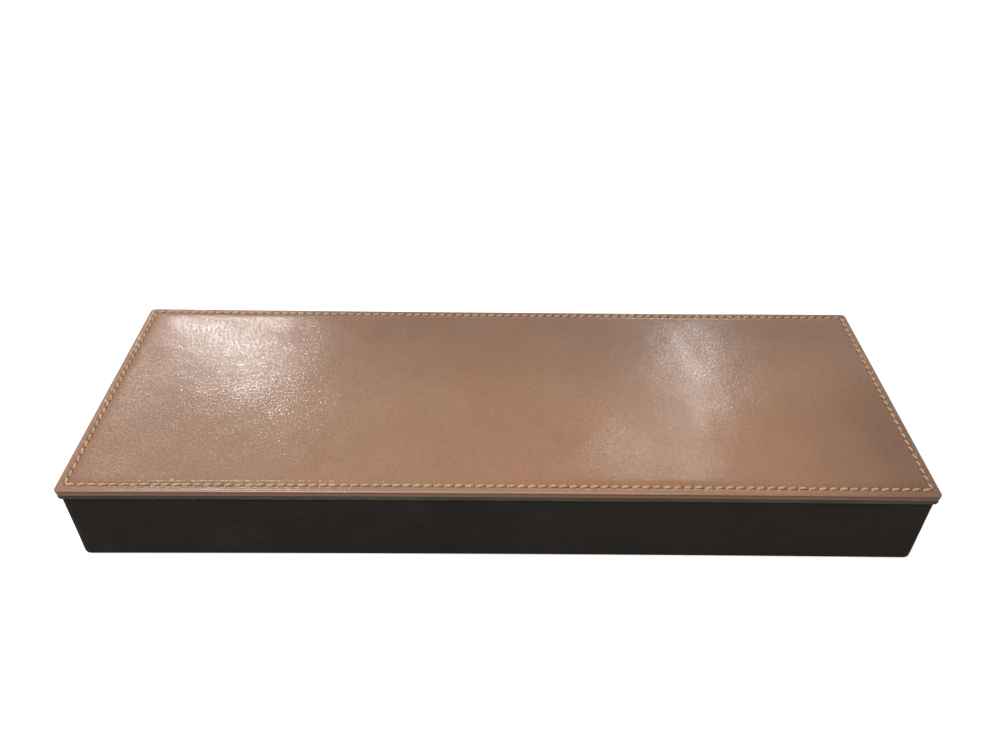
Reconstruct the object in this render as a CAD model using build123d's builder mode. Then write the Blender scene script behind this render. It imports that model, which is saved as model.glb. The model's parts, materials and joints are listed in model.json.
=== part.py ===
from build123d import *
import os

# A pen tray with a lift-off lid. The tray is a shallow board box covered in dark suede.
# The lid is a board panel with a stitched brown leather top, a dark suede underlay and a
# raised panel beneath it that drops into the tray's mouth.
# Millimetres, +Z up, +X along the length, and the front faces -Y. The origin is the middle
# of the footprint, on the surface that the tray stands on.

# Outline of the lid, and how far it stands out past the tray on every side
lid_length = 280.0
lid_depth = 100.0
lid_overhang = 0.5

# Tray boards, with the rebates that let the corners and the base
tray_height = 27.0
wall_thickness = 3.5
base_thickness = 3.0
base_rebate = 1.2
corner_rebate = 1.2
board_corner_radius = 2.2

# Suede cover of the tray, turned in over the rim and under the base
cover_thickness = 0.8
rim_turn_in = 6.0
base_turn_in = 12.0
cover_rim_radius = 0.6
cover_foot_radius = 0.7

# Sheet under the tray
base_sheet_thickness = 0.8
base_sheet_inset = 1.5
base_sheet_corner_radius = 2.5

# Linings of the tray's well, and its padded floor
lining_thickness = 1.2
lining_drop = 1.0
lining_edge_radius = 0.5
floor_gap = 0.3
floor_card_thickness = 1.0
floor_padding_thickness = 1.0
floor_suede_thickness = 0.8
floor_card_radius = 0.7
floor_edge_radius = 1.2

# Layers of the lid, from its underside up
underlay_thickness = 2.0
underlay_edge_radius = 0.8
leather_turn_in = 10.0
leather_turn_in_thickness = 0.4
lid_board_thickness = 1.6
lid_board_radius = 0.9
leather_thickness = 0.7
leather_edge_radius = 0.8
lid_padding_thickness = 0.4
crown_inset = 4.0
crown_slope = 3.0
crown_corner_radius = 3.5

# Raised panel under the lid that finds the tray's mouth
locating_gap = 0.6
locating_board_thickness = 2.2
locating_board_radius = 0.8
locating_suede_thickness = 0.8
locating_edge_radius = 1.0

# Saddle stitching around the lid, and the groove that it lies in
seam_inset = 2.8
stitch_spacing = 3.32
stitch_gap = 0.6
stitch_slant = 10.0
thread_width = 0.85
thread_height = 0.5
groove_margin = 0.1
leather_groove_depth = 0.35
underlay_groove_depth = 0.6

# Plan sizes, from the cover inwards: the boards, the space between them, the mouth between
# the turned-in covers, and the well between the linings
tray_length = lid_length - 2 * lid_overhang
tray_depth = lid_depth - 2 * lid_overhang
tray_corner_radius = board_corner_radius + cover_thickness
board_length = tray_length - 2 * cover_thickness
board_depth = tray_depth - 2 * cover_thickness
inner_length = board_length - 2 * wall_thickness
inner_depth = board_depth - 2 * wall_thickness
mouth_length = inner_length - 2 * cover_thickness
mouth_depth = inner_depth - 2 * cover_thickness
well_length = mouth_length - 2 * lining_thickness
well_depth = mouth_depth - 2 * lining_thickness

# Heights in the tray
cover_bottom = base_sheet_thickness
board_bottom = cover_bottom + cover_thickness
base_top = board_bottom + base_thickness
rim = tray_height
board_top = rim - cover_thickness
turn_in_bottom = rim - rim_turn_in
lining_top = rim - lining_drop

# The window that the cover's turn-in leaves under the base
base_window_length = board_length - 2 * base_turn_in
base_window_depth = board_depth - 2 * base_turn_in

# The padded floor: a card and a sheet of wadding inside a suede cover
floor_length = well_length - 2 * floor_gap
floor_depth = well_depth - 2 * floor_gap
floor_card_length = floor_length - 2 * floor_suede_thickness
floor_card_depth = floor_depth - 2 * floor_suede_thickness
floor_corner_radius = floor_card_radius + floor_suede_thickness
floor_card_top = base_top + floor_card_thickness
floor_padding_top = floor_card_top + floor_padding_thickness
floor_top = floor_padding_top + floor_suede_thickness

# The lid's layers, which rest on the rim
lid_corner_radius = lid_board_radius + leather_thickness
lid_board_length = lid_length - 2 * leather_thickness
lid_board_depth = lid_depth - 2 * leather_thickness
lid_window_length = lid_board_length - 2 * leather_turn_in
lid_window_depth = lid_board_depth - 2 * leather_turn_in
underlay_top = rim + underlay_thickness
lid_board_bottom = underlay_top + leather_turn_in_thickness
lid_board_top = lid_board_bottom + lid_board_thickness
margin_top = lid_board_top + leather_thickness
padding_top = lid_board_top + lid_padding_thickness
crown_top = margin_top + lid_padding_thickness
crown_length = lid_length - 2 * crown_inset
crown_depth = lid_depth - 2 * crown_inset
padding_length = crown_length - 2 * crown_slope
padding_depth = crown_depth - 2 * crown_slope

# The locating panel, a board in a suede cover that drops into the well
locating_length = well_length - 2 * locating_gap
locating_depth = well_depth - 2 * locating_gap
locating_board_length = locating_length - 2 * locating_suede_thickness
locating_board_depth = locating_depth - 2 * locating_suede_thickness
locating_corner_radius = locating_board_radius + locating_suede_thickness
locating_board_bottom = rim - locating_board_thickness
locating_bottom = locating_board_bottom - locating_suede_thickness

# The line that the stitches follow, with a whole number of them on each side
seam_length = lid_length - 2 * seam_inset
seam_depth = lid_depth - 2 * seam_inset
stitch_length = stitch_spacing - stitch_gap
stitch_edge_radius = 0.3 * thread_width
long_stitches = round(seam_length / stitch_spacing)
short_stitches = round(seam_depth / stitch_spacing)
stitch_spread = (stitch_length - thread_width) * Vector(1, 0, 0).rotate(Axis.Z, stitch_slant).Y
groove_width = thread_width + stitch_spread + 2 * groove_margin

# Which way each wall faces
front, back = Vector(0, -1, 0), Vector(0, 1, 0)
left, right = Vector(-1, 0, 0), Vector(1, 0, 0)


def outline(length, depth, height, radius=0):
    """A rectangle around the middle of the footprint, lying at a height."""
    with BuildSketch(Plane.XY.offset(height)) as sketch:
        if radius:
            RectangleRounded(length, depth, radius)
        else:
            Rectangle(length, depth)
    return sketch.sketch


def seam_groove(height):
    """The band that holds the stitches, lying at a height."""
    with BuildSketch(Plane.XY.offset(height)) as sketch:
        Rectangle(seam_length + groove_width, seam_depth + groove_width)
        Rectangle(seam_length - groove_width, seam_depth - groove_width, mode=Mode.SUBTRACT)
    return sketch.sketch


def wall_section(outward, inner, outer, bottom, top):
    """A rectangle across a wall, between two distances from the middle and two heights."""
    across = Plane(origin=(0, 0, 0), x_dir=outward, z_dir=outward.cross(Vector(0, 0, 1)))
    with BuildSketch(across) as sketch:
        with Locations(((inner + outer) / 2, (bottom + top) / 2)):
            Rectangle(outer - inner, top - bottom)
    return sketch.sketch


def make_wall(outward, inner, outer, length, corner_cut):
    """A wall board, rebated inside along its foot for the base and, if asked, at its ends."""
    with BuildPart() as wall:
        extrude(
            wall_section(outward, inner, outer, board_bottom, board_top),
            amount=length / 2,
            both=True,
        )
        extrude(
            wall_section(outward, inner, inner + base_rebate, board_bottom, base_top),
            amount=length / 2,
            both=True,
            mode=Mode.SUBTRACT,
        )
        if corner_cut:
            with BuildSketch(Plane.XY.offset(board_bottom)):
                Rectangle(board_length, inner_depth + 2 * corner_cut)
                Rectangle(inner_length, inner_depth + 2 * corner_cut, mode=Mode.SUBTRACT)
            extrude(amount=board_top - board_bottom, mode=Mode.SUBTRACT)
        extrude(
            outline(board_length, board_depth, board_bottom, board_corner_radius),
            amount=board_top - board_bottom,
            mode=Mode.INTERSECT,
        )
    return wall


def make_lining(outward, well, mouth, inner, face_length, backing_length):
    """A suede-covered card on a wall: a thin face, and a backing below the cover's turn-in."""
    with BuildPart() as lining:
        extrude(
            wall_section(outward, well / 2, mouth / 2, base_top, lining_top),
            amount=face_length / 2,
            both=True,
        )
        top_edges = lining.edges().group_by(Axis.Z)[-1]
        towards_wall = Axis(origin=(0, 0, 0), direction=outward)
        fillet(top_edges.sort_by(towards_wall)[0], lining_edge_radius)
        extrude(
            wall_section(outward, mouth / 2, inner / 2, base_top, turn_in_bottom),
            amount=backing_length / 2,
            both=True,
        )
    return lining


# Tray: long walls with a rebate at each end, and side walls that stand in those rebates
long_wall_sizes = (inner_depth / 2, board_depth / 2, board_length, corner_rebate)
side_wall_sizes = (inner_length / 2, board_length / 2, inner_depth + 2 * corner_rebate, 0)
front_wall = make_wall(front, *long_wall_sizes)
back_wall = make_wall(back, *long_wall_sizes)
left_wall = make_wall(left, *side_wall_sizes)
right_wall = make_wall(right, *side_wall_sizes)

# Tray: the base board, let into the foot of all four walls
with BuildPart() as base_board:
    extrude(
        outline(inner_length + 2 * base_rebate, inner_depth + 2 * base_rebate, board_bottom),
        amount=base_thickness,
    )

# Tray: the suede cover around the walls, folded in over the rim and under the base
with BuildPart() as tray_cover:
    extrude(
        outline(tray_length, tray_depth, cover_bottom, tray_corner_radius),
        amount=rim - cover_bottom,
    )
    fillet(tray_cover.edges().group_by(Axis.Z)[-1], cover_rim_radius)
    fillet(tray_cover.edges().group_by(Axis.Z)[0], cover_foot_radius)
    extrude(
        outline(mouth_length, mouth_depth, turn_in_bottom),
        amount=rim_turn_in,
        mode=Mode.SUBTRACT,
    )
    mouth_edges = tray_cover.edges().group_by(Axis.Z)[-1]
    fillet(mouth_edges.filter_by(GeomType.LINE).sort_by(SortBy.DISTANCE)[:4], cover_rim_radius)
    extrude(
        outline(board_length, board_depth, board_bottom, board_corner_radius),
        amount=turn_in_bottom - board_bottom,
        mode=Mode.SUBTRACT,
    )
    with BuildSketch(Plane.XY.offset(turn_in_bottom)):
        RectangleRounded(board_length, board_depth, board_corner_radius)
        Rectangle(inner_length, inner_depth, mode=Mode.SUBTRACT)
    extrude(amount=board_top - turn_in_bottom, mode=Mode.SUBTRACT)
    extrude(
        outline(base_window_length, base_window_depth, cover_bottom),
        amount=cover_thickness,
        mode=Mode.SUBTRACT,
    )

# Tray: the card that fills the window under the base, and the sheet that the tray stands on
with BuildPart() as base_infill:
    extrude(outline(base_window_length, base_window_depth, cover_bottom), amount=cover_thickness)

with BuildPart() as base_sheet:
    with BuildSketch():
        RectangleRounded(
            tray_length - 2 * base_sheet_inset,
            tray_depth - 2 * base_sheet_inset,
            base_sheet_corner_radius,
        )
    extrude(amount=base_sheet_thickness)

# Tray: linings of the four walls
long_lining_sizes = (well_depth, mouth_depth, inner_depth, mouth_length, inner_length)
side_lining_sizes = (well_length, mouth_length, inner_length, well_depth, mouth_depth)
front_lining = make_lining(front, *long_lining_sizes)
back_lining = make_lining(back, *long_lining_sizes)
left_lining = make_lining(left, *side_lining_sizes)
right_lining = make_lining(right, *side_lining_sizes)

# Tray: the padded floor
with BuildPart() as floor_card:
    extrude(
        outline(floor_card_length, floor_card_depth, base_top, floor_card_radius),
        amount=floor_card_thickness,
    )

with BuildPart() as floor_padding:
    extrude(
        outline(floor_card_length, floor_card_depth, floor_card_top, floor_card_radius),
        amount=floor_padding_thickness,
    )

with BuildPart() as floor_suede:
    extrude(
        outline(floor_length, floor_depth, base_top, floor_corner_radius),
        amount=floor_top - base_top,
    )
    fillet(floor_suede.edges().group_by(Axis.Z)[-1], floor_edge_radius)
    extrude(
        outline(floor_card_length, floor_card_depth, base_top, floor_card_radius),
        amount=floor_padding_top - base_top,
        mode=Mode.SUBTRACT,
    )

# Lid: the suede underlay, whose edge shows as a dark line below the leather
with BuildPart() as lid_underlay:
    extrude(outline(lid_length, lid_depth, rim, lid_corner_radius), amount=underlay_thickness)
    fillet(lid_underlay.edges().group_by(Axis.Z)[0], underlay_edge_radius)
    extrude(seam_groove(rim), amount=underlay_groove_depth, mode=Mode.SUBTRACT)

# Lid: the board, the paper that fills the window under it, and the padding on top of it
with BuildPart() as lid_board:
    extrude(
        outline(lid_board_length, lid_board_depth, lid_board_bottom, lid_board_radius),
        amount=lid_board_thickness,
    )

with BuildPart() as lid_infill:
    extrude(
        outline(lid_window_length, lid_window_depth, underlay_top),
        amount=leather_turn_in_thickness,
    )

with BuildPart() as lid_padding:
    extrude(
        outline(padding_length, padding_depth, lid_board_top, crown_corner_radius),
        amount=lid_padding_thickness,
    )

# Lid: the leather, turned down over the board's edges and in under it, with a groove for the
# stitches and a low crown inside them
with BuildPart() as lid_leather:
    extrude(
        outline(lid_length, lid_depth, underlay_top, lid_corner_radius),
        amount=margin_top - underlay_top,
    )
    fillet(lid_leather.edges().group_by(Axis.Z)[-1], leather_edge_radius)
    extrude(seam_groove(margin_top), amount=-leather_groove_depth, mode=Mode.SUBTRACT)
    with BuildSketch(Plane.XY.offset(margin_top)):
        RectangleRounded(crown_length, crown_depth, crown_corner_radius)
    with BuildSketch(Plane.XY.offset(crown_top)):
        RectangleRounded(padding_length, padding_depth, crown_corner_radius)
    loft(ruled=True)
    extrude(
        outline(padding_length, padding_depth, lid_board_top, crown_corner_radius),
        amount=lid_padding_thickness,
        mode=Mode.SUBTRACT,
    )
    extrude(
        outline(lid_board_length, lid_board_depth, lid_board_bottom, lid_board_radius),
        amount=lid_board_thickness,
        mode=Mode.SUBTRACT,
    )
    extrude(
        outline(lid_window_length, lid_window_depth, underlay_top),
        amount=leather_turn_in_thickness,
        mode=Mode.SUBTRACT,
    )

# Lid: the thread, as slanted stitches in the groove above and the groove below
with BuildPart() as stitch:
    with BuildSketch():
        SlotOverall(stitch_length, thread_width)
    extrude(amount=thread_height)
    fillet(stitch.faces().sort_by(Axis.Z)[-1].edges(), stitch_edge_radius)

top_seat = Plane.XY.offset(margin_top - leather_groove_depth)
under_seat = Plane(origin=(0, 0, rim + underlay_groove_depth), z_dir=(0, 0, -1))
long_spacing = seam_length / long_stitches
short_spacing = seam_depth / short_stitches
with BuildPart() as lid_thread:
    for seat in (top_seat, under_seat):
        with Locations(seat):
            with GridLocations(long_spacing, seam_depth, long_stitches, 2):
                add(stitch.part, rotation=(0, 0, stitch_slant))
            with GridLocations(seam_length, short_spacing, 2, short_stitches):
                add(stitch.part, rotation=(0, 0, 90 + stitch_slant))

# Lid: the locating panel
with BuildPart() as locating_board:
    extrude(
        outline(
            locating_board_length,
            locating_board_depth,
            locating_board_bottom,
            locating_board_radius,
        ),
        amount=locating_board_thickness,
    )

with BuildPart() as locating_suede:
    extrude(
        outline(locating_length, locating_depth, locating_bottom, locating_corner_radius),
        amount=rim - locating_bottom,
    )
    fillet(locating_suede.edges().group_by(Axis.Z)[0], locating_edge_radius)
    extrude(
        outline(
            locating_board_length,
            locating_board_depth,
            locating_board_bottom,
            locating_board_radius,
        ),
        amount=locating_board_thickness,
        mode=Mode.SUBTRACT,
    )

pieces = {
    "front_wall": front_wall,
    "back_wall": back_wall,
    "left_wall": left_wall,
    "right_wall": right_wall,
    "base_board": base_board,
    "tray_cover": tray_cover,
    "base_infill": base_infill,
    "base_sheet": base_sheet,
    "front_lining": front_lining,
    "back_lining": back_lining,
    "left_lining": left_lining,
    "right_lining": right_lining,
    "floor_card": floor_card,
    "floor_padding": floor_padding,
    "floor_suede": floor_suede,
    "lid_underlay": lid_underlay,
    "lid_infill": lid_infill,
    "lid_board": lid_board,
    "lid_padding": lid_padding,
    "lid_leather": lid_leather,
    "lid_thread": lid_thread,
    "locating_board": locating_board,
    "locating_suede": locating_suede,
}
os.makedirs("parts", exist_ok=True)
for name, piece in pieces.items():
    piece.part.label = name
    export_step(piece.part, f"parts/{name}.step")

print(f"well {well_length:.1f} x {well_depth:.1f} mm, from {floor_top:.1f} to {locating_bottom:.1f}")
print(f"stitches: {long_stitches} on each long side, {short_stitches} on each short side")
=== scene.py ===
import json
import math

import bmesh
import bpy
import numpy as np
from mathutils import Matrix, Vector


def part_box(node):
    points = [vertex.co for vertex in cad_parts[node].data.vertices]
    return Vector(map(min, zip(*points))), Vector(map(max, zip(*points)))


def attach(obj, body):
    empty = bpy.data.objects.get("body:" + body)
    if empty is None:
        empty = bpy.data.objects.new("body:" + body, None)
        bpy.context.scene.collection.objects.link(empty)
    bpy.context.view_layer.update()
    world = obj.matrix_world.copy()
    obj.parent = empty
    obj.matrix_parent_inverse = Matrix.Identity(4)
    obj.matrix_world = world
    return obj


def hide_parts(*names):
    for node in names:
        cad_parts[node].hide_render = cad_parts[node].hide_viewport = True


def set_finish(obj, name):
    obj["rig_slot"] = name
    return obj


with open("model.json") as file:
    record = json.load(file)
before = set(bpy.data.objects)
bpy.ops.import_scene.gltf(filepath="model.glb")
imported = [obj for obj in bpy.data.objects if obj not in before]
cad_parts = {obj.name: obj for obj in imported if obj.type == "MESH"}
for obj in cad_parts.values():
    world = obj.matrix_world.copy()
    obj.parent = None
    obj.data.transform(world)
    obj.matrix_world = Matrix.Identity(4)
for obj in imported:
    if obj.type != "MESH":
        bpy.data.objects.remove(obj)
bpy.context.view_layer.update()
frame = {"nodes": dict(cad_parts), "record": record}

# A closed pen tray: a box covered in near-black suede under a thin lift-off lid of smooth
# brown leather with cream saddle stitching. Shapes are worked out in millimetres, and turns
# are given in degrees.

MM = 0.001
rng = np.random.default_rng(7)


def box_mm(node):
    """Lowest and highest corner of a CAD node, in millimetres."""
    low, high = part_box(node)
    return np.array(low) / MM, np.array(high) / MM


# Sizes read from the frame

LID_LOW, LID_HIGH = box_mm("lid_leather")
LID_LENGTH, LID_DEPTH = (LID_HIGH - LID_LOW)[:2]
UNDERLAY_LOW, UNDERLAY_HIGH = box_mm("lid_underlay")
COVER_LOW, COVER_HIGH = box_mm("tray_cover")
TRAY_LENGTH, TRAY_DEPTH = (COVER_HIGH - COVER_LOW)[:2]
LID_BOARD_LOW, LID_BOARD_HIGH = box_mm("lid_board")
PADDING_HIGH = box_mm("lid_padding")[1]
INFILL_HIGH = box_mm("lid_infill")[1]
LOCATING_LOW, LOCATING_HIGH = box_mm("locating_suede")
FLOOR_LOW, FLOOR_HIGH = box_mm("floor_suede")

# Sizes of the part that a box can't tell

LID_CORNER_RADIUS = 1.6
TRAY_CORNER_RADIUS = 3.0
WALL_THICKNESS = 3.5
COVER_THICKNESS = 0.8
RIM_TURN_IN = 6.0
BASE_TURN_IN = 12.0
SEAM_INSET = 2.8
STITCH_SPACING = 3.32

# The seam's runs between its corners, each split into whole stitches

LONG_RUN = LID_LENGTH - 2 * SEAM_INSET
SHORT_RUN = LID_DEPTH - 2 * SEAM_INSET
LONG_STITCHES = round(LONG_RUN / STITCH_SPACING)
SHORT_STITCHES = round(SHORT_RUN / STITCH_SPACING)
LONG_SPACING = LONG_RUN / LONG_STITCHES
SHORT_SPACING = SHORT_RUN / SHORT_STITCHES

# The long sides of the box bow in a little towards their middle, by a share of the half depth

LID_BOW = 0.0095
TRAY_BOW = 0.010

# The seam was sewn a little off centre, to the right and to the back

SEAM_DRIFT = (0.15, 0.1)


def bow_in(points, share):
    """Draws the points of a piece in towards the middle of the long sides."""
    x = points[..., 0] / (LID_LENGTH / 2)
    points[..., 1] *= 1 - share * (1 - x * x)


# Meshes made of rings. Their doubled points are welded within a distance, in metres

WELD_DISTANCE = 2e-6


def ring_columns(long_steps, short_steps, corner_steps):
    """The columns of a rounded rectangle, anticlockwise from above, from the front-left corner.

    Each has its place between the corners' centres, from -1 to 1 each way, and the direction
    that it faces."""
    corners = ((-1, -1), (1, -1), (1, 1), (-1, 1))
    columns = []
    for side, steps in enumerate((long_steps, short_steps, long_steps, short_steps)):
        start, end = np.array(corners[side]), np.array(corners[(side + 1) % 4])
        facing = math.radians(90 * side - 90)
        for step in range(steps + 1):
            place = start + (end - start) * step / steps
            columns.append((*place, math.cos(facing), math.sin(facing)))
        for step in range(1, corner_steps):
            angle = facing + math.pi / 2 * step / corner_steps
            columns.append((*end, math.cos(angle), math.sin(angle)))
    return np.array(columns)


def ring_points(columns, length, depth, section):
    """Points of a surface that follows a rounded rectangle: one ring for each point of the
    section, which gives inset, height and corner radius. Returns rings x columns x 3."""
    inset, height, radius = (np.array(part)[:, None] for part in zip(*section))
    half_x = np.maximum(length / 2 - inset, 0)
    half_y = np.maximum(depth / 2 - inset, 0)
    radius = np.minimum(radius, np.minimum(half_x, half_y))
    x = columns[:, 0] * (half_x - radius) + columns[:, 2] * radius
    y = columns[:, 1] * (half_y - radius) + columns[:, 3] * radius
    return np.stack([x, y, np.broadcast_to(height, x.shape)], axis=-1).copy()


def ring_faces(rings, count, closed):
    """Quads between neighbouring rings. A closed section joins its last ring to its first."""
    ring = np.arange(rings if closed else rings - 1)[:, None]
    after = (ring + 1) % rings
    column = np.arange(count)[None, :]
    beside = (column + 1) % count
    corners = ((ring, column), (ring, beside), (after, beside), (after, column))
    quads = [np.broadcast_to(row * count + place, (len(ring), count)) for row, place in corners]
    return np.stack(quads, axis=-1).reshape(-1, 4)


def arc(centre, radius, start, end, steps):
    """Points of an arc in a section, as (inset, height), from one angle to another."""
    angles = np.radians(np.linspace(start, end, steps + 1))
    return [(centre[0] + radius * math.cos(a), centre[1] + radius * math.sin(a)) for a in angles]


def move_out(points, columns, distance):
    """Moves the points of rings sideways, the way that their columns face."""
    points[..., 0] += distance * columns[:, 2]
    points[..., 1] += distance * columns[:, 3]


def mesh_object(name, points, faces, sharp_angle=None):
    """A smooth piece with its normals outwards. Where it has a sharp angle, its doubled points
    are welded, and edges that turn by more than the angle stay sharp."""
    mesh = bpy.data.meshes.new(name)
    mesh.from_pydata((points * MM).tolist(), [], faces)
    shape = bmesh.new()
    shape.from_mesh(mesh)
    if sharp_angle:
        bmesh.ops.remove_doubles(shape, verts=shape.verts, dist=WELD_DISTANCE)
    bmesh.ops.recalc_face_normals(shape, faces=shape.faces)
    shape.to_mesh(mesh)
    shape.free()
    mesh.polygons.foreach_set("use_smooth", [True] * len(mesh.polygons))
    if sharp_angle:
        mesh.set_sharp_from_angle(angle=math.radians(sharp_angle))
    piece = bpy.data.objects.new(name, mesh)
    bpy.context.scene.collection.objects.link(piece)
    return piece


def ring_object(name, points, closed=False, sharp_angle=40):
    """A piece from rings of points."""
    rings, count = points.shape[:2]
    faces = ring_faces(rings, count, closed).tolist()
    return mesh_object(name, points.reshape(-1, 3), faces, sharp_angle)


def place_piece(piece, body, slot, *nodes):
    """Lets a piece ride on a body in place of its CAD nodes, with its slot of the record."""
    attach(piece, body)
    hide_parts(*nodes)
    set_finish(piece, slot)
    return piece


# Smooth, repeatable unevenness

def waves(x, y, seed, longest, shortest, count=14):
    """A gentle uneven surface, from -1 to 1 or so, whose swells have lengths in a range."""
    draw = np.random.default_rng(seed)
    total = np.zeros_like(x)
    for _ in range(count):
        length = math.exp(draw.uniform(math.log(shortest), math.log(longest)))
        turn, phase = draw.uniform(0, 2 * math.pi, 2)
        along = (x * math.cos(turn) + y * math.sin(turn)) * 2 * math.pi / length
        total += np.sin(along + phase) * (length / longest) ** 0.5
    return total / count ** 0.5


def ramp(value, start, end):
    """0 before start, 1 after end, and smooth between."""
    t = np.clip((value - start) / (end - start), 0, 1)
    return t * t * (3 - 2 * t)


def bell(distance, width):
    """1 at no distance, falling off smoothly over a width."""
    return np.exp(-(distance / width) ** 2)


def seam_distances(x, y):
    """How far a point of the lid is across the seam line and along it from the nearest hole."""
    inset_x = LID_LENGTH / 2 - np.abs(x)
    inset_y = LID_DEPTH / 2 - np.abs(y)
    long_side = inset_y < inset_x
    long_holes = (x + LONG_RUN / 2) / LONG_SPACING
    short_holes = (y + SHORT_RUN / 2) / SHORT_SPACING
    holes = np.where(long_side, long_holes, short_holes)
    spacing = np.where(long_side, LONG_SPACING, SHORT_SPACING)
    from_hole = np.abs(holes - np.round(holes)) * spacing
    return np.minimum(inset_x, inset_y) - SEAM_INSET, from_hole


# Lid leather: the heights of its parts, from the split under its edge up to the crown's field

SPLIT = LID_LOW[2]
MARGIN_TOP = LID_HIGH[2] - 0.4
FIELD_TOP = LID_HIGH[2] - 0.14
SEAM_FLOOR = MARGIN_TOP - 0.35
LAYER_LINE = MARGIN_TOP - 0.8

# The rolled edge, and the inset where the leather's unevenness begins

ROLL_WIDTH = 1.25
ROLL_HEIGHT = 0.7
RELIEF_START = 0.9

# The leather's corners are tightest at the seam, and widen over a short way inside it

SEAM_CORNER_RADIUS = 1.0
FIELD_CORNER_RADIUS = 3.0
CORNER_WIDENING = 2

# Stitch holes, and the leather that they draw down beside the seam

HOLE_DEPTH = 0.22
HOLE_RADIUS = 0.42
SHOULDER_DEPTH = 0.09
SHOULDER_DISTANCE = 1.0
SHOULDER_WIDTH = 0.55

# A low ridge runs from front to back towards the right, and bends left behind the middle

RIDGE_X = 71
RIDGE_BEND = 0.006
RIDGE_BEND_START = 10
RIDGE_WIDTH = 5.5
RIDGE_HEIGHT = 0.05


def leather_inside():
    """Inset and height along the leather's inside, over the layers that it covers."""
    padding_inset = LID_DEPTH / 2 - PADDING_HIGH[1]
    board_inset = LID_DEPTH / 2 - LID_BOARD_HIGH[1]
    window_inset = LID_DEPTH / 2 - INFILL_HIGH[1]
    return [
        (LID_DEPTH / 2, PADDING_HIGH[2]), (padding_inset, PADDING_HIGH[2]),
        (padding_inset, LID_BOARD_HIGH[2]), (board_inset, LID_BOARD_HIGH[2]),
        (board_inset, LID_BOARD_LOW[2]), (window_inset, LID_BOARD_LOW[2]),
        (window_inset, SPLIT), (1.2, SPLIT),
    ]


def leather_outside():
    """Inset and height along the leather's outside, from its split edge to the middle."""
    side = [
        (0.6, SPLIT + 0.05), (0.38, SPLIT + 0.05), (0.26, SPLIT + 0.14), (0.15, SPLIT + 0.4),
        (0.08, SPLIT + 0.9), (0.06, SPLIT + 1.4), (0.09, LAYER_LINE - 0.2), (0.15, LAYER_LINE),
    ]
    roll = [(ROLL_WIDTH * (1 + across), MARGIN_TOP + ROLL_HEIGHT * (up - 1))
            for across, up in arc((0, 0), 1, 172, 90, 8)]
    margin = [
        (1.5, MARGIN_TOP + 0.03), (1.75, MARGIN_TOP + 0.02), (1.98, MARGIN_TOP - 0.04),
        (2.2, MARGIN_TOP - 0.12), (2.42, MARGIN_TOP - 0.24),
    ]
    seam = [(2.62, SEAM_FLOOR + 0.02), (SEAM_INSET, SEAM_FLOOR), (2.98, SEAM_FLOOR + 0.02)]
    crown = [
        (3.2, MARGIN_TOP - 0.2), (3.45, MARGIN_TOP - 0.05), (3.8, MARGIN_TOP + 0.09),
        (4.3, MARGIN_TOP + 0.2), (5.0, MARGIN_TOP + 0.24), (6.0, FIELD_TOP), (7.4, FIELD_TOP),
    ]
    field = [(inset, FIELD_TOP) for inset in np.linspace(9, LID_DEPTH / 2, 17)]
    return side + roll + margin + seam + crown + field


def leather_corner_radius(inset):
    """The corner radius of the leather at an inset."""
    if inset < SEAM_INSET:
        change = SEAM_CORNER_RADIUS - LID_CORNER_RADIUS
        return LID_CORNER_RADIUS + change * max(inset, 0) / SEAM_INSET
    change = FIELD_CORNER_RADIUS - SEAM_CORNER_RADIUS
    return SEAM_CORNER_RADIUS + change * min((inset - SEAM_INSET) / CORNER_WIDENING, 1)


def leather_relief(x, y, inset):
    """How far the leather stands above its section at each point."""

    # The thread pulls the leather down, most of all at its holes, and it puffs up between them
    across, from_hole = seam_distances(x, y)
    near_hole = bell(from_hole, HOLE_RADIUS)
    beside_seam = bell(np.abs(across) - SHOULDER_DISTANCE, SHOULDER_WIDTH)
    height = -HOLE_DEPTH * bell(across, HOLE_RADIUS) * near_hole
    height = height - SHOULDER_DEPTH * beside_seam * near_hole

    # The field is a little uneven, more so on its left half, and the margin is a little too
    rightward = ramp(x, 0, 50)
    swells = waves(x, y, seed=3, longest=110, shortest=30)
    ripples = waves(x, y, seed=4, longest=26, shortest=7, count=20)
    margin_ripples = waves(x, y, seed=5, longest=30, shortest=9, count=20)
    height += (0.12 - 0.1 * rightward) * ramp(inset, 4, 14) * swells
    height += (0.015 - 0.01 * rightward) * ramp(inset, 3.6, 7) * ripples
    height += 0.025 * ramp(inset, 0.6, 1.6) * margin_ripples

    ridge_line = RIDGE_X - RIDGE_BEND * (np.maximum(y, RIDGE_BEND_START) - RIDGE_BEND_START) ** 2
    ridge = bell(x - ridge_line, RIDGE_WIDTH) * ramp(y, -46, -20)
    return height + RIDGE_HEIGHT * ridge * ramp(inset, 3.4, 8)


def lid_leather():
    inside, outside = leather_inside(), leather_outside()
    section = [(inset, height, leather_corner_radius(inset)) for inset, height in inside + outside]
    columns = ring_columns(8 * LONG_STITCHES, 8 * SHORT_STITCHES, 8)
    points = ring_points(columns, LID_LENGTH, LID_DEPTH, section)
    shown = points[len(inside):]
    x, y = shown[..., 0], shown[..., 1]
    inset = np.broadcast_to(np.array(outside)[:, :1], x.shape)
    shown[..., 2] += leather_relief(x, y, inset) * (inset > RELIEF_START)
    drifting = ramp(inset, RELIEF_START, 2.0) * ramp(-inset, -14, -5)
    for axis in (0, 1):
        shown[..., axis] += SEAM_DRIFT[axis] * drifting
    bow_in(points, LID_BOW)
    piece = ring_object("lid_leather_skin", points, sharp_angle=60)
    return place_piece(piece, "lid", "brown_leather", "lid_leather")


# Lid underlay, with a groove under it for the lower stitches

EDGE_FRAY = 0.035
EDGE_LIFT = 0.02


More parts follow.
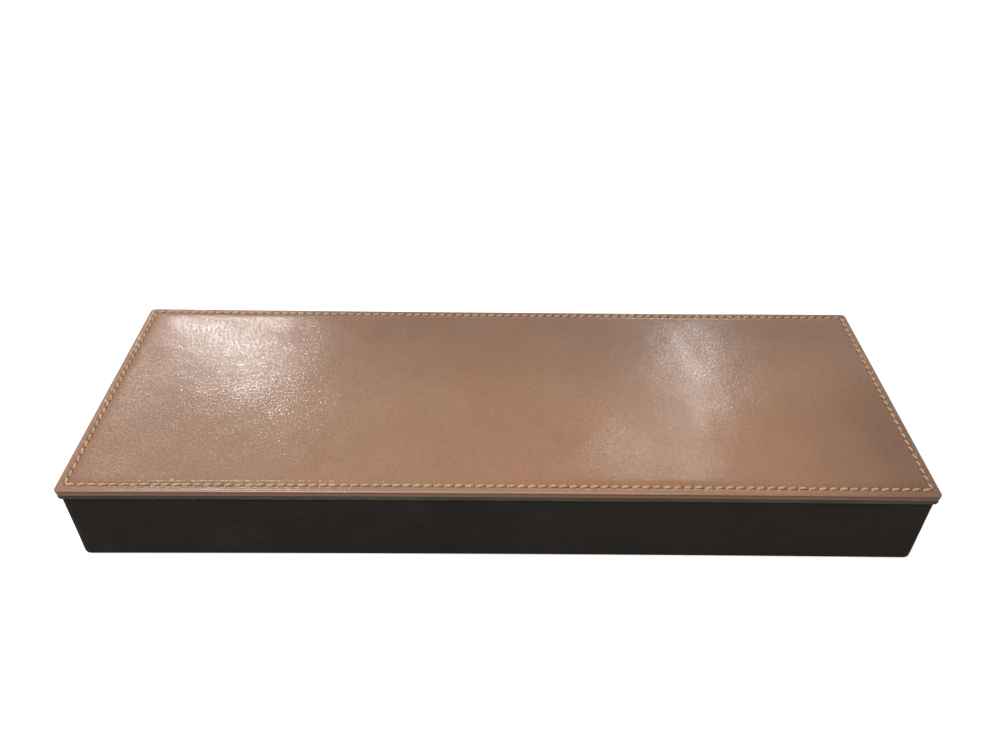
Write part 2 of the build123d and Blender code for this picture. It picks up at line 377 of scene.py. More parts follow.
def lid_underlay():
    bottom, top = UNDERLAY_LOW[2], UNDERLAY_HIGH[2]
    centre = LID_DEPTH / 2
    edge = [
        (0.5, top), (0.34, top - 0.08), (0.26, top - 0.3), (0.22, top - 0.7), (0.24, top - 1.1),
        (0.34, bottom + 0.6), (0.55, bottom + 0.3), (0.85, bottom + 0.1), (1.2, bottom),
    ]
    groove = [
        (1.9, bottom), (2.2, bottom + 0.3), (2.4, bottom + 0.5), (SEAM_INSET, bottom + 0.6),
        (3.2, bottom + 0.5), (3.4, bottom + 0.3), (3.7, bottom),
    ]
    chain = [(centre, top), (1.1, top), *edge, *groove, (8, bottom), (centre, bottom)]
    section = [(inset, height, max(LID_CORNER_RADIUS - inset, 0.3)) for inset, height in chain]
    columns = ring_columns(4 * LONG_STITCHES, 4 * SHORT_STITCHES, 6)
    points = ring_points(columns, LID_LENGTH, LID_DEPTH, section)
    on_edge = np.array([[1.0 if inset < 0.6 and height < top else 0.0] for inset, height in chain])
    move_out(points, columns, rng.normal(0, EDGE_FRAY, points.shape[:2]) * on_edge)
    points[..., 2] += rng.normal(0, EDGE_LIFT, points.shape[:2]) * on_edge
    bow_in(points, LID_BOW)
    piece = ring_object("lid_underlay_suede", points, sharp_angle=60)
    return place_piece(piece, "lid", "lining_suede", "lid_underlay")


# Stitches: the heights that they sit at, above and below the lid, and their slant

UPPER_SEAT = SEAM_FLOOR + 0.02
LOWER_SEAT = UNDERLAY_LOW[2] + 0.58
STITCH_SLANT = 12.0

# How far stitches differ in their slant, in their place across the seam and in how far they rise

STITCH_SPREAD = (2.2, 0.04, 0.035)

# One stitch: its middle line, which dives into the holes at its ends, and the two twisted plies

STITCH_REACH = 1.42
STITCH_ARCH = 0.27
STITCH_DIVE = 0.7
DIVE_START = 0.72
PLY_RADIUS = 0.34
PLY_TAPER = 0.35
PLY_FLATNESS = 0.85
PLY_ACROSS = 0.23
PLY_UP = 0.07
PLY_TURNS = 1.1


def stitch_template():
    """Two plies of thread twisted together, from one hole to the next along X."""
    rings, sides = 12, 5
    t = np.linspace(-1, 1, rings)
    flat = np.zeros(rings)
    dive = np.maximum(0, (np.abs(t) - DIVE_START) / (1 - DIVE_START)) ** 2
    rise = STITCH_ARCH * (1 - t ** 4) - STITCH_DIVE * dive
    middle = np.stack([STITCH_REACH * t, flat, rise], axis=-1)
    thickness = PLY_RADIUS * (1 - PLY_TAPER * np.abs(t) ** 6)
    around = np.linspace(0, 2 * math.pi, sides, endpoint=False)
    ring = np.stack([np.zeros(sides), np.cos(around), PLY_FLATNESS * np.sin(around)], axis=-1)
    points, faces = [], []
    for ply in range(2):
        twist = ply * math.pi + PLY_TURNS * math.pi * t
        offset = np.stack([flat, PLY_ACROSS * np.cos(twist), PLY_UP * np.sin(twist)], axis=-1)
        tube = (middle + offset)[:, None, :] + ring[None] * thickness[:, None, None]
        points.append(tube.reshape(-1, 3))
        first = ply * rings * sides
        last = first + (rings - 1) * sides
        faces += (ring_faces(rings, sides, closed=False) + first).tolist()
        faces += [list(range(start, start + sides)) for start in (first, last)]
    return np.concatenate(points), faces


def stitch_places():
    """Centre, turn and spacing of each stitch around the lid."""
    for side in (-1, 1):
        for k in range(LONG_STITCHES):
            x = (k + 0.5) * LONG_SPACING - LONG_RUN / 2
            yield x, side * SHORT_RUN / 2, 90 + side * 90, LONG_SPACING
        for k in range(SHORT_STITCHES):
            y = (k + 0.5) * SHORT_SPACING - SHORT_RUN / 2
            yield side * LONG_RUN / 2, y, side * 90, SHORT_SPACING


def lid_stitches():
    template, template_faces = stitch_template()
    points, faces = [], []
    for seat, up in ((UPPER_SEAT, 1), (LOWER_SEAT, -1)):
        drift_x, drift_y = SEAM_DRIFT if up > 0 else (0, 0)
        for x, y, turn, spacing in stitch_places():
            slant, shift, pull = rng.normal(0, STITCH_SPREAD)
            angle = math.radians(turn + up * STITCH_SLANT + slant)
            stitch = template * (spacing / STITCH_SPACING, 1, up)
            stitch[:, 2] *= 1 + 2 * pull
            turned = stitch @ np.array(Matrix.Rotation(angle, 3, "Z")).T
            first = len(points) * len(template)
            points.append(turned + (x + drift_x, y + drift_y + shift, seat))
            faces += [[first + corner for corner in face] for face in template_faces]
    points = np.concatenate(points)
    bow_in(points, LID_BOW)
    piece = mesh_object("lid_stitches", points, faces)
    return place_piece(piece, "lid", "waxed_thread", "lid_thread")


# Locating panel

PANEL_EDGE_RADIUS = 1.1
PANEL_CORNER_RADIUS = 1.6


def locating_panel():
    length, depth = (LOCATING_HIGH - LOCATING_LOW)[:2]
    top, bottom = LOCATING_HIGH[2], LOCATING_LOW[2]
    inner = bottom + COVER_THICKNESS
    edge_centre = (PANEL_EDGE_RADIUS, bottom + PANEL_EDGE_RADIUS)
    hidden = [(depth / 2, inner), (COVER_THICKNESS, inner), (COVER_THICKNESS, top)]
    chain = [
        (0.1, top), (0, top - 0.4), *arc(edge_centre, PANEL_EDGE_RADIUS, 180, 270, 5),
        (3, bottom), (6, bottom + 0.04), (12, bottom + 0.08), (20, bottom + 0.06),
        (30, bottom + 0.08), (depth / 2, bottom + 0.08),
    ]
    section = [(inset, height, PANEL_CORNER_RADIUS - min(inset, 1)) for inset, height in hidden + chain]
    points = ring_points(ring_columns(60, 20, 6), length, depth, section)
    shown = points[len(hidden):]
    inset = np.array(chain)[:, :1]
    swells = waves(shown[..., 0], shown[..., 1], seed=11, longest=60, shortest=15)
    shown[..., 2] += 0.05 * swells * ramp(inset, 1.2, 8)
    bow_in(points, LID_BOW)
    piece = ring_object("locating_panel_suede", points)
    return place_piece(piece, "lid", "lining_suede", "locating_suede")


# Tray cover

FOOT_RADIUS = 0.5
OUTER_RIM_RADIUS = 0.7
INNER_RIM_RADIUS = 0.6
FACE_SWELL = 0.07


def cover_section():
    """Inset and height around the cover: under the base, up the outside, over the rim and down
    to its turned-in edge, and back along its inside."""
    bottom, rim = COVER_LOW[2], COVER_HIGH[2]
    skin = COVER_THICKNESS
    window_inset = BASE_TURN_IN + skin
    wall = skin + WALL_THICKNESS + skin
    turn_in = rim - RIM_TURN_IN
    foot = arc((FOOT_RADIUS, bottom + FOOT_RADIUS), FOOT_RADIUS, 270, 180, 4)
    face = [(0, height) for height in np.linspace(bottom + 2, rim - 2, 9)]
    outer_centre = (OUTER_RIM_RADIUS, rim - OUTER_RIM_RADIUS)
    inner_centre = (wall - INNER_RIM_RADIUS, rim - INNER_RIM_RADIUS)
    return [
        (window_inset, bottom), *foot, *face, *arc(outer_centre, OUTER_RIM_RADIUS, 180, 90, 5),
        (2.2, rim), (3.6, rim), *arc(inner_centre, INNER_RIM_RADIUS, 90, 0, 5),
        (wall, rim - 3), (wall, turn_in), (wall - skin, turn_in), (wall - skin, rim - skin),
        (skin, rim - skin), (skin, bottom + skin), (window_inset, bottom + skin),
    ]


def tray_cover():
    bottom, rim = COVER_LOW[2], COVER_HIGH[2]
    chain = cover_section()
    section = [(inset, height, max(TRAY_CORNER_RADIUS - inset, 0.05)) for inset, height in chain]
    columns = ring_columns(200, 72, 10)
    points = ring_points(columns, TRAY_LENGTH, TRAY_DEPTH, section)
    x, y, z = (points[..., axis] for axis in range(3))
    on_face = [ramp(height, bottom + 1, bottom + 5) * ramp(-height, 1 - rim, 4 - rim) * (inset == 0)
               for inset, height in chain]
    swells = waves(x + 0.6 * y, z, seed=21, longest=90, shortest=18)
    move_out(points, columns, FACE_SWELL * swells * np.array(on_face)[:, None])
    bow_in(points, TRAY_BOW)
    piece = ring_object("tray_suede_cover", points, closed=True)
    return place_piece(piece, "tray", "cover_suede", "tray_cover")


# Padded panels: the floor of the well and its four linings

PAD_COLUMN_SPACING = 4
LINING_SEED = 41

# How much shorter the linings are than their nodes, so that their soft ends stay apart

LONG_LINING_GAP = 1.6
SHORT_LINING_GAP = 2.4

# The axis across each lining's wall, and which way the wall lies along it

LINING_SIDES = {"front": (1, -1), "back": (1, 1), "left": (0, -1), "right": (0, 1)}


def pad_points(length, depth, thickness, corner_radius, puff, seed):
    """A soft slab lying on Z = 0 around the origin, whose top swells inside its edges."""
    half = min(length, depth) / 2
    edge = min(1.2, thickness * 0.6)
    chain = [(half, 0), (0.1, 0), (0, 0.15), (0, thickness - edge)]
    chain += arc((edge, thickness - edge), edge, 180, 90, 5)[1:]
    chain += [(half * share, thickness) for share in (0.12, 0.22, 0.36, 0.55, 0.78, 1)]
    section = [(inset, height, corner_radius) for inset, height in chain]
    steps = [max(int(run / PAD_COLUMN_SPACING), 2) for run in (length, depth)]
    points = ring_points(ring_columns(*steps, 5), length, depth, section)
    inset = np.array(chain)[:, :1]
    on_top = np.array([[1.0 if height >= thickness else 0.0] for _, height in chain])
    swells = waves(points[..., 0], points[..., 1], seed, longest=70, shortest=16)
    points[..., 2] += on_top * ramp(inset, edge, edge + 7) * (puff + 0.35 * puff * swells)
    return points


def floor_pad():
    length, depth, thickness = FLOOR_HIGH - FLOOR_LOW
    points = pad_points(length, depth, thickness, corner_radius=1.5, puff=0.35, seed=31)
    points[..., 2] += FLOOR_LOW[2]
    bow_in(points, TRAY_BOW)
    piece = place_piece(ring_object("floor_pad_suede", points), "tray", "lining_suede", "floor_suede")
    return piece


def lining(side, seed):
    """A suede-covered card on a wall, with soft edges and a very slight swell."""
    across, outward = LINING_SIDES[side]
    along = 1 - across
    node = f"{side}_lining"
    low, high = box_mm(node)
    size = high - low
    length = size[along] - (LONG_LINING_GAP if along == 0 else SHORT_LINING_GAP)
    points = pad_points(length, size[2], size[across], corner_radius=0.3, puff=0.08, seed=seed)
    wall_face = low[across] if outward < 0 else high[across]
    placed = np.zeros_like(points)
    placed[..., along] = points[..., 0]
    placed[..., across] = wall_face - outward * points[..., 2]
    placed[..., 2] = points[..., 1] + (low[2] + high[2]) / 2
    bow_in(placed, TRAY_BOW)
    return place_piece(ring_object(f"{side}_lining_suede", placed), "tray", "lining_suede", node)


# Materials

class Finish:
    """A material and short ways to add the nodes that it needs."""

    def __init__(self, name):
        self.material = bpy.data.materials.new(name)
        self.material.use_nodes = True
        self.tree = self.material.node_tree
        self.shader = self.tree.nodes["Principled BSDF"]
        self.coordinates = self.tree.nodes.new("ShaderNodeTexCoord").outputs["Object"]

    def add(self, kind, **settings):
        node = self.tree.nodes.new(kind)
        for key, value in settings.items():
            setattr(node, key, value)
        return node

    def feed(self, socket, value):
        """Links another node's socket, or sets a plain value."""
        if isinstance(value, bpy.types.NodeSocket):
            self.tree.links.new(value, socket)
        else:
            socket.default_value = value

    def maths(self, operation, *values):
        node = self.add("ShaderNodeMath", operation=operation)
        for socket, value in zip(node.inputs, values):
            self.feed(socket, value)
        return node.outputs[0]

    def distance(self, run_x, run_y):
        """The length of a run that goes so far one way and so far the other."""
        squares = [self.maths("MULTIPLY", run, run) for run in (run_x, run_y)]
        return self.maths("SQRT", self.maths("ADD", *squares))

    def noise(self, scale, detail, roughness, stretch=None):
        node = self.add("ShaderNodeTexNoise")
        node.inputs["Scale"].default_value = scale
        node.inputs["Detail"].default_value = detail
        node.inputs["Roughness"].default_value = roughness
        self.feed(node.inputs["Vector"], self.stretched(stretch) if stretch else self.coordinates)
        return node.outputs["Fac"]

    def stretched(self, scales):
        node = self.add("ShaderNodeMapping")
        node.inputs["Scale"].default_value = scales
        self.feed(node.inputs["Vector"], self.coordinates)
        return node.outputs["Vector"]

    def cells(self, scale):
        """The distance from the middle of the nearest cell, and the cell's own colour."""
        node = self.add("ShaderNodeTexVoronoi")
        node.inputs["Scale"].default_value = scale
        self.feed(node.inputs["Vector"], self.coordinates)
        return node.outputs["Distance"], node.outputs["Color"]

    def ramp(self, value, start, end, low=0.0, high=1.0):
        node = self.add("ShaderNodeMapRange", interpolation_type="SMOOTHSTEP")
        for socket, part in zip(node.inputs, (value, start, end, low, high)):
            self.feed(socket, part)
        return node.outputs["Result"]

    def mix(self, share, first, second):
        node = self.add("ShaderNodeMix", data_type="RGBA")
        for name, value in (("Factor_Float", share), ("A_Color", first), ("B_Color", second)):
            socket = next(s for s in node.inputs if s.identifier == name)
            self.feed(socket, value)
        return next(s for s in node.outputs if s.identifier == "Result_Color")

    def clouded(self, colour, shade, texture, start, end, amount):
        """A colour that turns to a shade, by up to an amount, where a texture is high."""
        return self.mix(self.ramp(texture, start, end, 0, amount), colour, shade)

    def tinted(self, colour, shade, place, amount):
        """A colour that turns to a shade, by an amount, in one place."""
        return self.mix(self.maths("MULTIPLY", place, amount), colour, shade)

    def bump(self, heights):
        """Bumps one on another, each given as (height, how deep in millimetres, strength)."""
        normal = None
        for height, depth, strength in heights:
            node = self.add("ShaderNodeBump")
            node.inputs["Distance"].default_value = depth * MM
            node.inputs["Strength"].default_value = strength
            self.feed(node.inputs["Height"], height)
            if normal:
                self.feed(node.inputs["Normal"], normal)
            normal = node.outputs["Normal"]
        self.feed(self.shader.inputs["Normal"], normal)
        self.feed(self.shader.inputs["Coat Normal"], normal)

    def position(self):
        """X, Y and Z on the piece in millimetres."""
        node = self.add("ShaderNodeSeparateXYZ")
        self.feed(node.inputs[0], self.coordinates)
        return [self.maths("DIVIDE", out, MM) for out in node.outputs]

    def set(self, **values):
        for name, value in values.items():
            self.feed(self.shader.inputs[name.replace("_", " ")], value)


def srgb(red, green, blue):
    """A colour given as it is seen, from 0 to 255, as the linear values that nodes take."""
    def linear(c):
        c /= 255
        return c / 12.92 if c <= 0.04045 else ((c + 0.055) / 1.055) ** 2.4
    return (linear(red), linear(green), linear(blue), 1.0)


# Leather finish: its browns, from the plain surface to the marks on it and its darker parts,
# some of which are painted shade: along the back and sides, in the seam and in its holes

BROWN = srgb(153, 115, 88)
WARM_BROWN = srgb(159, 115, 85)
PATCH_BROWN = srgb(143, 107, 81)
MOTTLE_BROWN = srgb(134, 98, 75)
PORE_BROWN = srgb(110, 78, 58)
# Painted shade, laid over the leather along the back and towards the sides
PAINTED_SHADE_BROWN = srgb(118, 84, 62)
STAIN_BROWN = srgb(140, 92, 60)
SPECK_BROWN = srgb(84, 52, 36)
SEAM_SHADE_BROWN = srgb(104, 76, 56)
HOLE_SHADE_BROWN = srgb(92, 66, 42)
SIDE_BROWN = srgb(124, 88, 66)
LAYER_LINE_BROWN = srgb(62, 42, 31)
SPLIT_BROWN = srgb(48, 34, 26)

# Place and radius of the stain and of each speck

STAIN = ((5.6, 29.8), 2.2)
SPECKS = (((-99.8, 45.4), 0.8), ((-92.7, 44.3), 0.6))

# The grain and the polish change from right to left between these two places

CHANGE_START, CHANGE_END = 10, -70


class LeatherPlaces:
    """Where a point of the leather lies: its position, its inset from the lid's edge, and how
    far it is in the seam, in a hole and on the lid's side, each from 0 to 1."""

    def __init__(self, f):
        self.x, self.y, self.z = f.position()

        # Undo the bow and the seam's drift, so that the holes and the seam's shade fall on the seam
        share = f.maths("MULTIPLY", self.x, 2 / LID_LENGTH)
        bow = f.maths("MULTIPLY_ADD", f.maths("MULTIPLY", share, share), -LID_BOW, LID_BOW)
        straight_y = f.maths("DIVIDE", self.y, f.maths("SUBTRACT", 1, bow))
        x = f.maths("SUBTRACT", self.x, SEAM_DRIFT[0])
        y = f.maths("SUBTRACT", straight_y, SEAM_DRIFT[1])
        inset_x = f.maths("SUBTRACT", LID_LENGTH / 2, f.maths("ABSOLUTE", x))
        inset_y = f.maths("SUBTRACT", LID_DEPTH / 2, f.maths("ABSOLUTE", y))
        self.inset = f.maths("MINIMUM", inset_x, inset_y)
        on_long_side = f.maths("LESS_THAN", inset_y, inset_x)

        # Each hole's shade is a little longer across the seam than along it
        long_gap = self.from_hole(f, x, LONG_RUN, LONG_SPACING)
        short_gap = self.from_hole(f, y, SHORT_RUN, SHORT_SPACING)
        gap_difference = f.maths("SUBTRACT", long_gap, short_gap)
        along = f.maths("MULTIPLY_ADD", on_long_side, gap_difference, short_gap)
        across = f.maths("MULTIPLY", f.maths("SUBTRACT", self.inset, SEAM_INSET), 0.75)
        self.hole = f.ramp(f.distance(along, across), 0.15, 0.6, 1, 0)
        self.seam = f.ramp(f.maths("ABSOLUTE", across), 0.1, 0.8, 1, 0)
        self.side = f.ramp(self.z, MARGIN_TOP - 0.45, LAYER_LINE)

    @staticmethod
    def from_hole(f, along, run, spacing):
        """The distance along one side of the seam from its nearest stitch hole."""
        holes = f.maths("DIVIDE", f.maths("ADD", along, run / 2), spacing)
        return f.maths("MULTIPLY", f.maths("PINGPONG", holes, 0.5), spacing)


def leather_browns(f, pebbles):
    """Cloudy browns, from areas as wide as a hand down to the pores."""
    colour = f.mix(f.ramp(f.noise(14, 3, 0.55), 0.35, 0.65), BROWN, WARM_BROWN)
    colour = f.clouded(colour, PATCH_BROWN, f.noise(70, 4, 0.6), 0.38, 0.7, 0.35)
    colour = f.clouded(colour, MOTTLE_BROWN, f.noise(420, 4, 0.65), 0.4, 0.75, 0.2)
    return f.clouded(colour, PORE_BROWN, pebbles, 0.4, 0.7, 0.12)


def painted_falloff_shade(f, at):
    """Painted shade, darkening the leather along the back and to the left and right, as the light
    falls.
    """
    back_shade = f.maths("MULTIPLY", f.ramp(at.y, -15, 45), f.ramp(at.x, -110, -40))
    right_shade = f.maths("MULTIPLY", f.ramp(at.x, 85, 140), f.ramp(at.y, 45, -30, 0.5, 1))
    left_shade = f.ramp(at.x, -40, -110, 0, 0.3)
    back_shade = f.maths("MULTIPLY", back_shade, 0.7)
    right_shade = f.maths("MULTIPLY", right_shade, 0.85)
    return f.maths("MAXIMUM", f.maths("MAXIMUM", back_shade, right_shade), left_shade)


def spot(f, at, place, radius):
    """A round spot on the leather, soft at its edge."""
    run_x, run_y = f.maths("SUBTRACT", at.x, place[0]), f.maths("SUBTRACT", at.y, place[1])
    return f.ramp(f.distance(run_x, run_y), radius * 0.3, radius, 1, 0)


def leather_marks(f, at, colour):
    """A faint stain, two dark specks, painted shade in the seam and its holes, and the darker side
    with the lines between its layers."""
    specks = f.maths("MAXIMUM", *(spot(f, at, *speck) for speck in SPECKS))
    line_distance = f.maths("ABSOLUTE", f.maths("SUBTRACT", at.z, LAYER_LINE))
    marks = (
        (STAIN_BROWN, spot(f, at, *STAIN), 0.3),
        (SPECK_BROWN, specks, 0.6),
        # Painted shade in the seam's groove and in its stitch holes
        (SEAM_SHADE_BROWN, at.seam, 0.15),
        (HOLE_SHADE_BROWN, at.hole, 0.5),
        (SIDE_BROWN, at.side, 0.75),
        (LAYER_LINE_BROWN, f.ramp(line_distance, 0.1, 0.4, 1, 0), 0.6),
        (SPLIT_BROWN, f.ramp(at.z, SPLIT + 0.6, SPLIT + 0.1), 0.8),
    )
    for shade, place, amount in marks:
        colour = f.tinted(colour, shade, place, amount)
    return colour


def from_right_to_left(f, at, right, left):
    """A value that changes between the middle of the lid and its left part."""
    return f.ramp(at.x, CHANGE_START, CHANGE_END, right, left)


def leather_grain(f, at, pebbles):
    """Broad swells, creases, round dots and fine grain, with more relief to the left."""
    swells = f.maths("MULTIPLY", f.noise(170, 3, 0.5), from_right_to_left(f, at, 0.12, 1))
    dots = f.maths("MULTIPLY", f.ramp(pebbles, 0.0, 0.55, 1, 0), from_right_to_left(f, at, 0.5, 1))
    creases = f.noise(1300, 3, 0.6)
    grain = f.noise(2200, 3, 0.6)
    f.bump([(swells, 0.07, 0.8), (creases, 0.01, 0.8), (dots, 0.018, 1.0), (grain, 0.014, 0.6)])


def leather_polish(f, at):
    """The polish is uneven, rubbed off between the pores, thickest on the rolled edge, and there
    is none in the holes or on the side."""
    rolled = f.ramp(at.inset, 1.6, 0.8)
    broad = f.ramp(f.noise(40, 2, 0.5), 0.35, 0.65, 0.36, 0.54)
    least, most = from_right_to_left(f, at, 0.65, 0.5), from_right_to_left(f, at, 1.5, 1.7)
    rubbed = f.ramp(f.noise(1000, 2, 0.6), 0.38, 0.66, least, most)
    polish = f.maths("MAXIMUM", f.maths("MULTIPLY", broad, rubbed), rolled)
    bare = f.maths("MAXIMUM", at.hole, f.maths("MAXIMUM", f.maths("MULTIPLY", at.seam, 0.6), at.side))
    return f.maths("MULTIPLY", polish, f.maths("SUBTRACT", 1, bare))


def leather_finish():
    f = Finish("brown_leather")
    at = LeatherPlaces(f)
    pebbles, _ = f.cells(1100)
    # Painted shade darkens the browns along the back and towards the left and right
    colour = f.mix(painted_falloff_shade(f, at), leather_browns(f, pebbles), PAINTED_SHADE_BROWN)
    leather_grain(f, at, pebbles)
    f.set(Base_Color=leather_marks(f, at, colour), Coat_Weight=leather_polish(f, at))
    f.set(Roughness=f.ramp(f.noise(240, 4, 0.6), 0.3, 0.7, 0.36, 0.46))
    f.set(Specular_IOR_Level=0.12, Coat_Roughness=0.16)
    return f.material


def suede_finish(name, shades, lint_share):
    """Suede in three shades, with a napped surface and a little pale lint."""
    f = Finish(name)
    dark, middle, light = shades
    brushed = f.noise(110, 4, 0.65)
    nap = f.noise(1100, 4, 0.7)
    fine_nap = f.noise(3300, 2, 0.6)
    colour = f.mix(f.ramp(f.noise(22, 3, 0.55), 0.35, 0.65), dark, middle)
    colour = f.clouded(colour, light, brushed, 0.42, 0.75, 0.6)
    colour = f.clouded(colour, dark, nap, 0.35, 0.7, 0.5)
    specks, cell_shade = f.cells(330)
    chosen = f.maths("GREATER_THAN", cell_shade, 1 - lint_share)
    lint = f.maths("MULTIPLY", f.ramp(specks, 0.04, 0.11, 1, 0), chosen)
    colour = f.tinted(colour, srgb(150, 142, 128), lint, 0.35)
    f.bump([(brushed, 0.12, 0.4), (nap, 0.1, 0.8), (fine_nap, 0.05, 0.7)])
    f.set(Base_Color=colour, Roughness=0.95, Specular_IOR_Level=0.12)
    f.set(Sheen_Weight=0.25, Sheen_Roughness=0.45, Sheen_Tint=light)
    return f.material


def thread_finish():
    """Cream thread, a little uneven from stitch to stitch. Painted shade darkens it from where it
    dips into its holes on down, so under the lid too."""
    f = Finish("waxed_thread")
    height = f.position()[2]
    fibres = f.noise(3800, 3, 0.6)
    per_stitch = f.noise(260, 1, 0.4)
    colour = f.mix(f.ramp(per_stitch, 0.35, 0.65), srgb(200, 169, 137), srgb(186, 155, 125))
    colour = f.clouded(colour, srgb(168, 140, 110), fibres, 0.4, 0.7, 0.4)
    # Painted shade where the thread dips into its holes, set by height alone
    low = f.ramp(height, SEAM_FLOOR + 0.04, SEAM_FLOOR - 0.2)
    colour = f.tinted(colour, srgb(96, 70, 50), low, 0.7)
    f.bump([(fibres, 0.04, 0.6)])
    f.set(Base_Color=colour, Roughness=0.55, Specular_IOR_Level=0.35)
    return f.material


def board_finish():
    f = Finish("greyboard")
    flecks = f.noise(900, 4, 0.7)
    fibres = f.noise(240, 3, 0.6, stretch=(0.4, 1.6, 1))
    colour = f.mix(f.ramp(fibres, 0.35, 0.65), srgb(150, 140, 120), srgb(164, 154, 134))
    colour = f.clouded(colour, srgb(116, 106, 90), flecks, 0.55, 0.75, 0.5)
    f.bump([(flecks, 0.04, 0.5)])
    f.set(Base_Color=colour, Roughness=0.9)
    return f.material


def wadding_finish():
    f = Finish("wadding")
    fibres = f.noise(500, 5, 0.75)
    colour = f.mix(f.ramp(fibres, 0.35, 0.7), srgb(206, 200, 188), srgb(184, 178, 166))
    f.bump([(fibres, 0.3, 0.8)])
    f.set(Base_Color=colour, Roughness=1.0)
    return f.material


COVER_SHADES = (srgb(34, 29, 27), srgb(41, 36, 32), srgb(50, 44, 40))
LINING_SHADES = (srgb(66, 62, 53), srgb(80, 76, 66), srgb(98, 93, 82))

finishes = {
    "brown_leather": leather_finish(),
    "cover_suede": suede_finish("cover_suede", COVER_SHADES, lint_share=0.02),
    "lining_suede": suede_finish("lining_suede", LINING_SHADES, lint_share=0.03),
    "waxed_thread": thread_finish(),
    "greyboard": board_finish(),
    "wadding": wadding_finish(),
}

pieces = [
    lid_leather(),
    lid_underlay(),
    lid_stitches(),
    locating_panel(),
    tray_cover(),
    floor_pad(),
    *(lining(side, LINING_SEED + k) for k, side in enumerate(LINING_SIDES)),
]
for piece in pieces:
    piece.data.materials.clear()
    piece.data.materials.append(finishes[piece["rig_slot"]])

node_slots = {row["node"]: row["material_slot"] for row in frame["record"]["subparts"]}
for name, node in frame["nodes"].items():
    for slot in node.material_slots:
        slot.material = finishes[node_slots[name]]


# Surroundings, in metres: a floor that keeps the shadow and a background, both white when seen

ROOM_LIGHT = (1.0, 0.98, 0.96, 1)
ROOM_LIGHT_STRENGTH = 0.26
WHITE = (1, 1, 1, 1)
FLOOR_SIZE = 6
FLOOR_DROP = 0.0002
FLOOR_COLOUR = (0.7, 0.7, 0.7, 1)
FLOOR_GLOW = 0.76


def split_by_ray(tree, lighting, shown, output):
    """Shows one surface to the rays that the camera, gloss and glass send, and lights the pieces
    with another."""
    path = tree.nodes.new("ShaderNodeLightPath")
    seen = path.outputs["Is Camera Ray"]
    for ray in ("Is Glossy Ray", "Is Transmission Ray"):
        either = tree.nodes.new("ShaderNodeMath")
        either.operation = "MAXIMUM"
        tree.links.new(seen, either.inputs[0])
        tree.links.new(path.outputs[ray], either.inputs[1])
        seen = either.outputs[0]
    mixer = tree.nodes.new("ShaderNodeMixShader")
    tree.links.new(seen, mixer.inputs["Fac"])
    tree.links.new(lighting, mixer.inputs[1])
    tree.links.new(shown, mixer.inputs[2])
    tree.links.new(mixer.outputs[0], tree.nodes[output].inputs["Surface"])


def make_world():
    world = bpy.data.worlds.new("studio")
    bpy.context.scene.world = world
    world.use_nodes = True
    tree = world.node_tree
    light = tree.nodes["Background"]
    light.inputs["Color"].default_value = ROOM_LIGHT
    light.inputs["Strength"].default_value = ROOM_LIGHT_STRENGTH
    white = tree.nodes.new("ShaderNodeBackground")
    white.inputs["Color"].default_value = WHITE
    split_by_ray(tree, light.outputs[0], white.outputs[0], "World Output")


def make_floor():
    """A pale grey floor, with a glow that makes it white to the camera."""
    bpy.ops.mesh.primitive_plane_add(size=FLOOR_SIZE, location=(0, 0, -FLOOR_DROP))
    floor = bpy.context.object
    floor.name = "floor"
    f = Finish("floor_white")
    f.set(Base_Color=FLOOR_COLOUR, Roughness=0.9, Specular_IOR_Level=0.0)
    glow = f.add("ShaderNodeEmission")
    glow.inputs["Strength"].default_value = FLOOR_GLOW
    both = f.add("ShaderNodeAddShader")
    f.tree.links.new(f.shader.outputs[0], both.inputs[0])
    f.tree.links.new(glow.outputs[0], both.inputs[1])
    split_by_ray(f.tree, f.shader.outputs[0], both.outputs[0], "Material Output")
    floor.data.materials.append(f.material)


def area_light(name, place, target, size, power, spin=0):
    """A rectangular lamp, with its places and sizes in metres, turned about its own beam."""
    data = bpy.data.lights.new(name, "AREA")
    data.shape = "RECTANGLE"
    data.size, data.size_y = size
    data.energy = power
    lamp = bpy.data.objects.new(name, data)
    lamp.location = place
    aim = (Vector(target) - Vector(place)).to_track_quat("-Z", "Y").to_matrix()
    lamp.rotation_euler = (aim @ Matrix.Rotation(math.radians(spin), 3, "Z")).to_euler()
    bpy.context.scene.collection.objects.link(lamp)


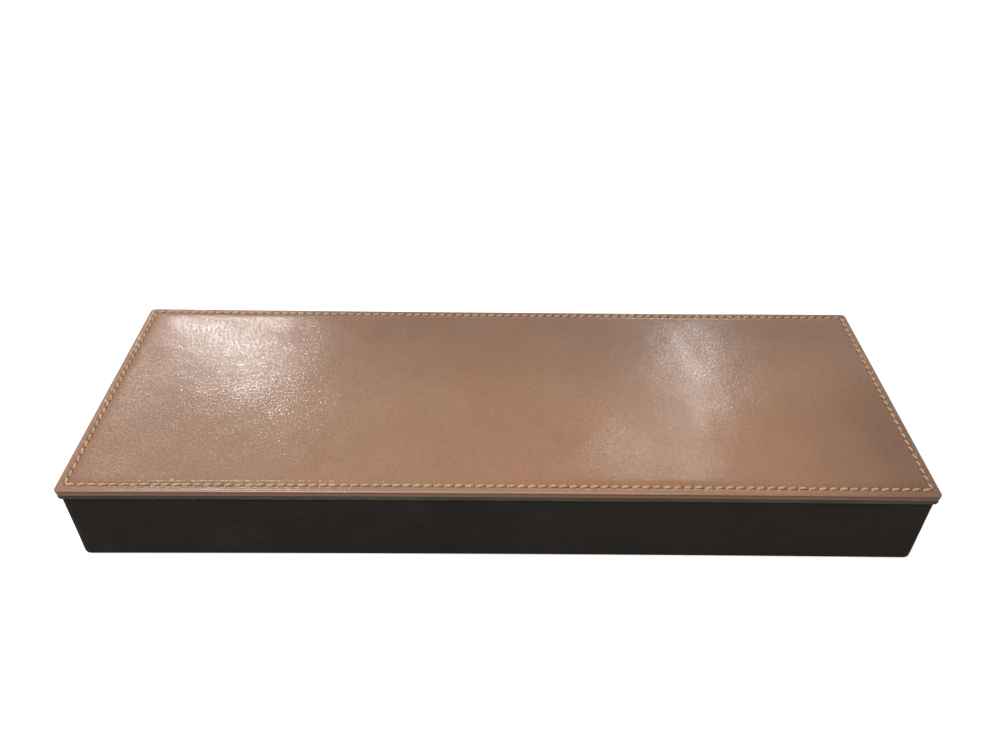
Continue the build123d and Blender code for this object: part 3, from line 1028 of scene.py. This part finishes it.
def make_lights():
    """A soft key lamp, and lamps that give the highlights: each stands where the camera sees it
    mirrored in the leather about its target."""
    area_light("key", (-0.03, -0.25, 0.45), (-0.02, -0.02, 0.03), (0.4, 0.4), 0.95)
    area_light("left_window", (-0.565, 0.775, 0.82), (-0.126, -0.017, 0.032), (0.4, 0.3), 0.38)
    area_light("left_glint", (-0.442, 0.94, 0.712), (-0.102, 0.031, 0.032), (0.18, 0.03), 1.65, -18)
    area_light("left_strip", (-0.62, 0.88, 0.78), (-0.128, 0, 0.032), (0.04, 0.34), 0.22, -43)
    area_light("right_glint", (0.342, 0.922, 0.764), (0.072, 0.012, 0.032), (0.02, 0.18), 0.62, 32)
    area_light("low_glint", (0.268, 0.809, 0.858), (0.05, -0.033, 0.032), (0.22, 0.04), 0.35)
    area_light("back_glint", (0.3, 1.045, 0.426), (0.078, 0.045, 0.032), (0.2, 0.03), 0.6)
    area_light("crown_glint", (-0.325, 0.264, 0.733), (-0.088, -0.045, 0.032), (0.2, 0.1), 1.1)
    area_light("rim_glint", (-0.245, -0.287, 0.507), (-0.085, -0.05, 0.031), (0.25, 0.08), 1.1)


# Camera, fitted to the outline of the box in the photograph, in millimetres

IMAGE_WIDTH = 1000
FOCAL_PIXELS = 858.6
SENSOR_WIDTH = 36
NEAREST_SEEN = 10
CAMERA_PLACE = (-2.99, -235.36, 230.26)
CAMERA_DOWN, CAMERA_TURN, CAMERA_ROLL = 39.1, -0.724, -0.894


def make_camera():
    data = bpy.data.cameras.new("camera")
    data.sensor_width = SENSOR_WIDTH
    data.lens = SENSOR_WIDTH * FOCAL_PIXELS / IMAGE_WIDTH
    data.clip_start = MM * NEAREST_SEEN
    camera = bpy.data.objects.new("camera", data)
    camera.location = [MM * part for part in CAMERA_PLACE]
    turn = Matrix.Rotation(math.radians(CAMERA_TURN), 3, "Z")
    tilt = Matrix.Rotation(math.radians(90 - CAMERA_DOWN), 3, "X")
    roll = Matrix.Rotation(math.radians(-CAMERA_ROLL), 3, "Z")
    camera.rotation_euler = (turn @ tilt @ roll).to_euler()
    bpy.context.scene.collection.objects.link(camera)
    bpy.context.scene.camera = camera


make_world()
make_floor()
make_lights()
make_camera()
bpy.context.scene.view_settings.view_transform = "Standard"
